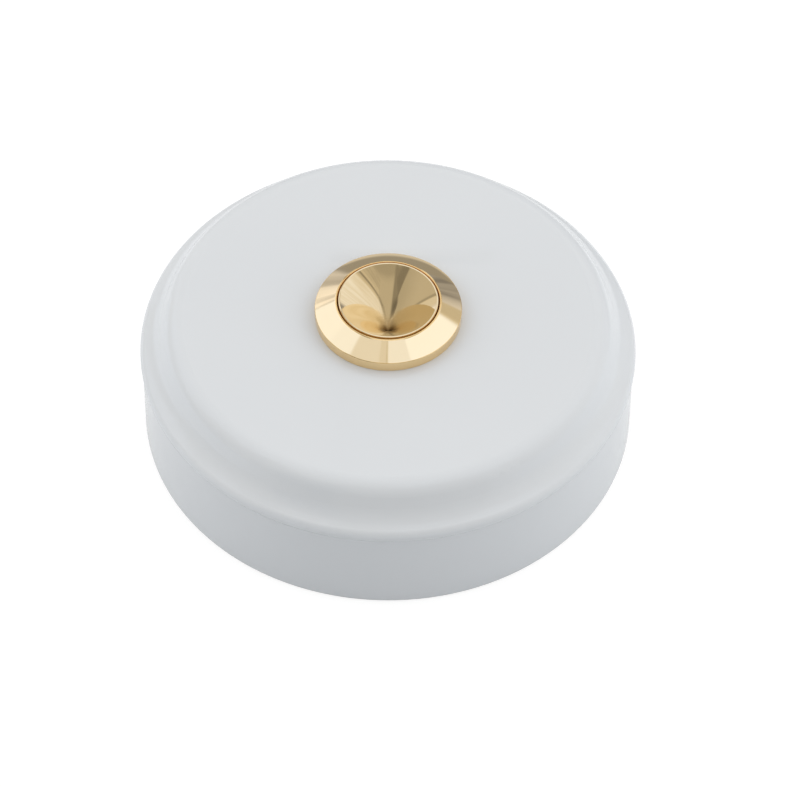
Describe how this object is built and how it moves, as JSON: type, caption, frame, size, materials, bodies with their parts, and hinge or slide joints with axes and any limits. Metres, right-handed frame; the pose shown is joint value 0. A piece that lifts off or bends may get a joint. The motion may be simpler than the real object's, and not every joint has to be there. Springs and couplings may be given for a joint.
{
  "type": "doorbell push button",
  "caption": "Round surface-mounted bell push: glazed white porcelain housing with a flared lip, polished brass bezel and a dished brass push button.",
  "frame": {"origin": "centre of the housing's foot, on the wall", "axes": "+Z out of the wall along the button's axis; +Y up the wall, towards the narrow ends of the keyholes"},
  "size_m": [0.0686, 0.0686, 0.0231],
  "materials": {
    "porcelain": "smooth clear glaze over white porcelain",
    "polished_brass": "turned and polished to a mirror",
    "contact_brass": "plain machined",
    "contact_metal": "bright contact metal",
    "plated_steel": "zinc plated, satin",
    "spring_steel": "drawn wire and stamped strip",
    "black_rubber": "matt",
    "fibre": "pressed red fibre, matt",
    "white_moulding": "moulded, satin",
    "dark_moulding": "moulded, satin"
  },
  "bodies": {
    "housing": {"porcelain_housing": "porcelain", "bezel_barrel": "polished_brass", "bezel_gasket": "black_rubber", "return_spring": "spring_steel", "switch_base": "dark_moulding", "left_terminal": "contact_brass", "right_terminal": "contact_brass", "contact_tips": "contact_metal", "terminal_washers": "plated_steel", "terminal_screws": "plated_steel", "retaining_ring": "spring_steel", "cushion_washer": "fibre", "mounting_bracket": "plated_steel", "lock_washer": "plated_steel", "lock_nut": "contact_brass"},
    "button": {"push_button": "polished_brass", "button_seal": "black_rubber", "plunger": "white_moulding", "contact_bridge": "contact_brass", "bridge_clip": "spring_steel"}
  },
  "joints": [
    {"name": "button_press", "type": "slide", "parent": "housing", "child": "button", "axis": [0, 0, -1], "range_m": [0, 0.0016], "stiffness_N_per_m": 700, "springref_m": -0.002, "deforming": ["return_spring"]}
  ]
}
